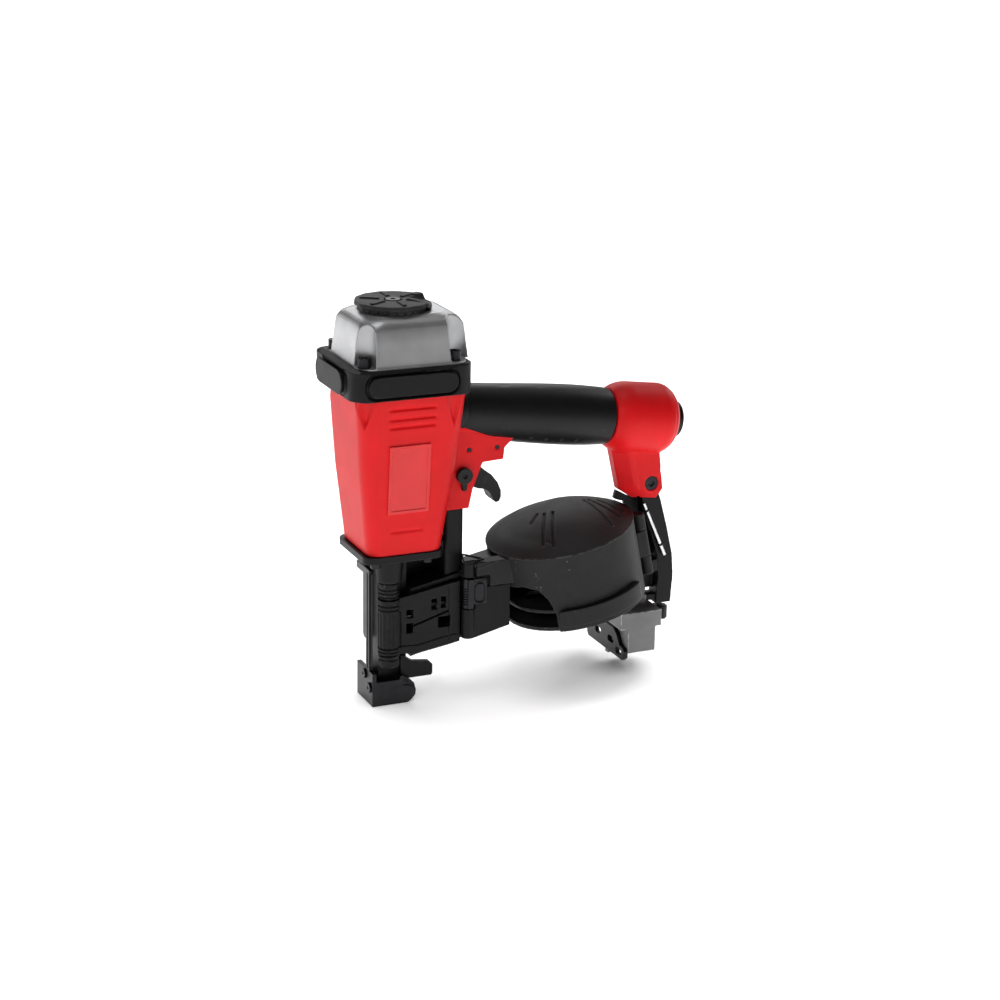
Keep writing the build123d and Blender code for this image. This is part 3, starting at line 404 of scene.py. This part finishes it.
def shape_cover(points, normals):
    """Press the dome's two groups of grooves and its flat facet, and raise its rim."""
    fan = [((-12.6, 4.9), (-21.5, -3.5)), ((-9.4, -0.3), (-26.2, -31.9)), ((-4.3, -3.8), (-20.9, -37.3))]
    group = [((24.1, 4.8), (24.8, -35.2)), ((27.5, 5.2), (35.7, -25.8)), ((33.9, 4.2), (42.0, -17.1))]
    points = carve(points, normals, [dome_line(a, b) for a, b in fan + group], width=1.0, depth=1.25)
    points = carve(points, normals, [[on_dome(-22.5, -31.0), on_dome(-20.0, -35.5)]], width=1.5, depth=0.5)
    rel = points - CAN_AT
    u, v, h = rel @ CAN_U, rel @ CAN_V, rel @ CAN_H
    reach = np.hypot(u, v)
    top = (h > 0.6) & (normals @ CAN_H > 0.3)
    facet = smooth_step((-u + 0.55 * v - 2) / 14) * smooth_step((46 - reach) / 12)
    points = points - normals * (top * facet * 0.9)[:, None]
    rim = rings(h, (-0.2,), 0.45) * (reach > RIM_R - 1.2) * 0.3
    return points + normals * rim[:, None]


def shape_pad(points, normals):
    """Draw the pad's ends in towards the wall so that they look pressed."""
    rel = points - CAN_AT
    u, v = rel @ CAN_U, rel @ CAN_V
    reach, angle = np.hypot(u, v), np.degrees(np.arctan2(v, u))
    end = smooth_step(np.minimum(angle - PAD_ANGLES[0], PAD_ANGLES[1] - angle) / 7.0)
    drawn = (reach - PAD_R) * (1 - end) * 0.75 * (reach > PAD_R)
    out = np.stack([u, v], 1) / reach[:, None]
    return points - drawn[:, None] * (out[:, :1] * CAN_U + out[:, 1:] * CAN_V)


def shape_grip(points, normals):
    """Press the ring at the sleeve's front end."""
    ring = rings((points - GRIP_AT) @ GRIP_S, (-52,), 1.2) * 0.5
    return points - normals * ring[:, None]


def shape_end_cap(points, normals):
    """Press the ring before the rounded end, and the crease down each cheek of the arm."""
    ring = rings((points - GRIP_AT) @ GRIP_S, (104.5,), 0.7) * 0.4
    crease = [(178, -11.0, 162), (184.5, -11.0, 127)]
    points = carve(points, normals, both_sides([crease]), width=1.4, depth=0.5)
    return points - normals * ring[:, None]


def shape_door(points, normals):
    """Press the door's bottom seam and end rib, and turn collars on its hinge barrel."""
    seam = [(-2, -18, 43.5), (14, -18, 42.5), (30, -18, 45.5), (42, -18, 47)]
    rib = [(36.6, -18, 44), (36.6, -18, 82)]
    points = carve(points, normals, [seam, rib], width=0.5, depth=0.6)
    barrel = (from_axis(points, HINGE) > 6) & (points[:, 0] < -1)
    collars = rings(points[:, 2], (40.2, 42.6, 70.4, 73.2), 0.6) * barrel
    return points - normals * (collars * 0.7)[:, None]


def shape_nose(points, normals):
    """Turn collars on the hinge's upper neck and one on its lower knuckle."""
    z, reach = points[:, 2], from_axis(points, HINGE)
    neck = (reach < 9) & (z > 78.5) & (z < 90.5)
    knuckle = (reach < 8) & (z > 29.5) & (z < 37)
    collars = rings(z, (79.6, 82.2, 84.8, 89.4), 0.55) * neck + rings(z, (34.6,), 0.5) * knuckle
    return points - normals * (collars * 0.75)[:, None]


def shape_bar(points, normals):
    """Press the contact arm's front and side channels."""
    channels = [[(-18, -4.75, 26), (-18, -4.75, 93)], [(-16.6, -8, 27), (-16.6, -8, 92)]]
    return carve(points, normals, channels, width=0.9, depth=0.9)


def shape_inlet(points, normals):
    """Thread grooves inside the air port."""
    rel = points - GRIP_AT
    s = rel @ GRIP_S
    reach = np.linalg.norm(rel - s[:, None] * GRIP_S, axis=1)
    groove = (reach < 6.6) & (s > 103) & (s < 116)
    depth, pitch = 0.28, 1.4
    return points + normals * (groove * depth * np.cos(2 * pi * s / pitch))[:, None]


def shape_foot(points, normals):
    """Press the facet lines at the near claw's root."""
    lines = [[(5.5, -14.5, 17.6), (9.8, -14.5, 12.8), (12.2, -14.5, 11.2)],
             [(5.5, -14.5, 17.6), (4.6, -14.5, 13.6), (9.8, -14.5, 12.8)]]
    return carve(points, normals, lines, width=0.5, depth=0.5)


def shape_deflector(points, normals):
    """Scallop the brim, and dip it into a flared outlet with a raised lip on its far side."""
    x, y, z = points.T
    x = x - EXHAUST_X
    reach, angle = np.hypot(x, y), np.degrees(np.arctan2(y, x))
    brim = z > BRIM_LOW_Z
    scallop = 0.5 + 0.5 * np.cos(np.radians(angle * 14))
    drawn = brim * (reach > 23) * 0.45 * scallop * (np.abs(angle) > 50)
    outlet = smooth_step((angle + 48) / 12) * smooth_step((18 - angle) / 8)
    dip = brim * outlet * smooth_step((reach - 9) / 16) * 2.8
    lip = (z > 278) * (reach > 19) * smooth_step((angle - 14) / 6) * smooth_step((38 - angle) / 8) * 0.9
    share = (drawn / np.maximum(reach, 1))[:, None]
    points = points - share * np.stack([x, y, 0 * z], 1)
    points[:, 2] = np.minimum(points[:, 2] + lip - dip, BRIM_HIGH_Z)
    return points


def shape_latch(points, normals):
    """Outline the latch's thumb tab."""
    tab = oval((55.9, -25.5, 77.5), (0, 0, 1), (1, 0, 0), half_across=6.9, half_up=3.6)
    return carve(points, normals, [tab], width=0.5, depth=0.7)


def tube(name, path, radius, body, slot, closed=False, sides=10):
    """A round wire along a path of points in millimetres, riding on a body."""
    path = [Vector(point) for point in path]
    count, mesh, bm = len(path), bpy.data.meshes.new(name), bmesh.new()
    rings, side = [], None
    for i, point in enumerate(path):
        ahead = path[(i + 1) % count] if closed or i + 1 < count else point
        behind = path[i - 1] if closed or i else point
        along = (ahead - behind).normalized()
        side = (side or along.orthogonal()) - along * along.dot(side or along.orthogonal())
        side.normalize()
        other = along.cross(side)
        rings.append([bm.verts.new((point + (side * cos(a) + other * sin(a)) * radius) * MM)
                      for a in (2 * pi * k / sides for k in range(sides))])
    pairs = list(zip(rings, rings[1:])) + ([(rings[-1], rings[0])] if closed else [])
    for one, two in pairs:
        for k in range(sides):
            bm.faces.new((one[k], one[(k + 1) % sides], two[(k + 1) % sides], two[k]))
    if not closed:
        bm.faces.new(rings[0][::-1])
        bm.faces.new(rings[-1])
    bmesh.ops.recalc_face_normals(bm, faces=bm.faces)
    bm.to_mesh(mesh)
    bm.free()
    mesh.shade_smooth()
    obj = bpy.data.objects.new(name, mesh)
    bpy.context.scene.collection.objects.link(obj)
    dress(obj, slot)
    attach(obj, body)
    return obj


def helix(centre, radius, height, turns, steps=28):
    """Points of an upright helix, with so many steps to a turn."""
    total = steps * turns
    return [(centre[0] + radius * cos(2 * pi * i / steps), centre[1] + radius * sin(2 * pi * i / steps),
             centre[2] + height * i / total) for i in range(total + 1)]


# ---------------------------------------------------------------- the tool
# node: voxel in millimetres, rounds of smoothing, carving
CAST = {
    "housing": (0.55, 5, shape_housing), "bumper_guard": (0.42, 3, shape_guard),
    "cap": (0.45, 8, shape_cap), "grip": (0.5, 4, shape_grip), "end_cap": (0.45, 5, shape_end_cap),
    "magazine_cover": (0.42, 3, shape_cover), "magazine_base": (0.5, 2, None),
    "nose_body": (0.38, 3, shape_nose), "arm_housing": (0.35, 4, None),
    "contact_foot": (0.28, 3, shape_foot), "contact_arm": (0.3, 3, shape_bar), "trigger": (0.28, 5, None),
    "door": (0.28, 2, shape_door), "feed_track": (0.35, 3, None), "skid_block": (0.35, 3, None),
    "support_arm": (0.4, 3, None), "exhaust_deflector": (0.26, 2, shape_deflector),
    "guide_plate": (0.3, 2, None), "coil_platform": (0.45, 2, None), "cover_pad": (0.35, 6, shape_pad),
    "mode_selector": (0.22, 3, None), "door_latch": (0.22, 2, shape_latch), "guide_knob": (0.25, 3, None),
    "depth_dial": (0.22, 2, None), "arm_guide": (0.28, 2, None), "badge_plate": (0.2, 2, None),
    "air_inlet": (0.25, 2, shape_inlet), "foot_rivets": (0.16, 2, None), "cap_bolts": (0.2, 2, None),
    "exhaust_screw": (0.2, 2, None), "bracket_bolt": (0.2, 2, None), "nose_bolts": (0.22, 2, None),
}
for node, (voxel, rounds, shape) in CAST.items():
    cast(node + "_shown", [node], voxel, rounds, shape)
for node, obj in NODES.items():
    if node not in CAST:
        dress(obj, SLOT_OF[node])

tube("latch_spring", helix(LATCH_AT, radius=4.75, height=13.0, turns=7), 0.5, "latch", "black_oxide")
LATCH_LOOP = [(45.2, -22.2, 99.2), (52.5, -21.8, 99.2), (59.8, -21.0, 99.2), (57.0, -18.5, 99.8),
              (52.0, -15.5, 100.8), (48.0, -13.2, 101.6), (46.6, -16.5, 100.6)]
tube("latch_loop", LATCH_LOOP, 0.8, BODY_OF["feed_track"], "black_oxide", closed=True, sides=8)
ROD_TOP, ROD_ALONG = np.array((187.5, -8.0, 121.0)), np.array((18.0, 0.0, -40.0))
HALF_RING = 0.7 * ROD_ALONG / 43.9
for i, share in enumerate((0.14, 0.80)):
    at = ROD_TOP + share * ROD_ALONG
    ends = [tuple(at - HALF_RING), tuple(at + HALF_RING)]
    tube(f"tie_rod_ring_{i}", ends, 1.9, BODY_OF["tie_rod"], "black_oxide")

# ---------------------------------------------------------------- camera, light and floor
scene = bpy.context.scene
camera = bpy.data.objects.new("camera", bpy.data.cameras.new("camera"))
scene.collection.objects.link(camera)
RIGHT, UP = (0.91553, -0.40191, 0.01665), (0.10567, 0.28024, 0.95410)
BACK, EYE = (-0.38813, -0.87174, 0.29904), (-0.5539, -1.4256, 0.6219)
camera.matrix_world = Matrix((*zip(RIGHT, UP, BACK, EYE), (0, 0, 0, 1)))
camera.data.lens = 85.82
camera.data.sensor_width = 36
camera.data.clip_end = 50
scene.camera = camera

floor_mesh = bpy.data.meshes.new("floor")
floor_mesh.from_pydata([(-6, -6, 0), (6, -6, 0), (6, 6, 0), (-6, 6, 0)], [], [(0, 1, 2, 3)])
floor = bpy.data.objects.new("floor", floor_mesh)
floor.location.z = -0.0002
scene.collection.objects.link(floor)
paper = Paint("paper", (0.8, 0.8, 0.8), 0.9, specular=0.1)
paper_colour = paper.ramp(paper.noise(3, 2), [(0.3, (0.86, 0.86, 0.86)), (0.7, (0.90, 0.90, 0.90))])
floor_mesh.materials.append(paper.finish(paper_colour, paper.spread(paper.noise(60), 0.85, 0.95)))
MIDDLE = Vector((0.06, 0, 0.14))


def lamp(name, place_at, size, power):
    """A soft rectangular lamp aimed at the middle of the tool."""
    light = bpy.data.lights.new(name, "AREA")
    light.shape = "RECTANGLE"
    light.size, light.size_y = size
    light.energy = power
    obj = bpy.data.objects.new(name, light)
    scene.collection.objects.link(obj)
    obj.location = place_at
    obj.rotation_euler = (MIDDLE - Vector(place_at)).to_track_quat("-Z", "Y").to_euler()


lamp("key", (-1.1, -1.35, 1.25), (0.6, 0.8), 5.6)
lamp("front", (0.6, -1.8, 0.8), (0.6, 0.5), 0.4)
lamp("left", (-0.95, 1.6, 0.4), (0.5, 1.0), 3.3)
lamp("rim", (1.4, 0.7, 1.0), (0.4, 0.7), 5)
lamp("behind", (0.45, 1.5, 1.0), (1.3, 0.7), 8)
lamp("top", (0.0, 0.1, 1.7), (0.7, 0.6), 4.2)
only_floor = bpy.data.collections.new("only_floor")
only_floor.objects.link(floor)
paper_light = bpy.data.objects.new("paper_light", bpy.data.lights.new("paper_light", "SUN"))
paper_light.data.energy = 3.7
paper_light.data.angle = radians(100)
paper_light.light_linking.receiver_collection = only_floor
scene.collection.objects.link(paper_light)

world = bpy.data.worlds.new("studio")
world.use_nodes = True
sky = world.node_tree
back = sky.nodes["Background"]
back.inputs["Color"].default_value = (1, 1, 1, 1)
seen = sky.nodes.new("ShaderNodeBackground")
seen.inputs["Color"].default_value = (1, 1, 1, 1)
rays, blend = sky.nodes.new("ShaderNodeLightPath"), sky.nodes.new("ShaderNodeMixShader")
back.inputs["Strength"].default_value = 0.06
sky.links.new(rays.outputs["Is Camera Ray"], blend.inputs["Fac"])
sky.links.new(back.outputs["Background"], blend.inputs[1])
sky.links.new(seen.outputs["Background"], blend.inputs[2])
sky.links.new(blend.outputs["Shader"], sky.nodes["World Output"].inputs["Surface"])
scene.world = world
scene.view_settings.view_transform = "Standard"
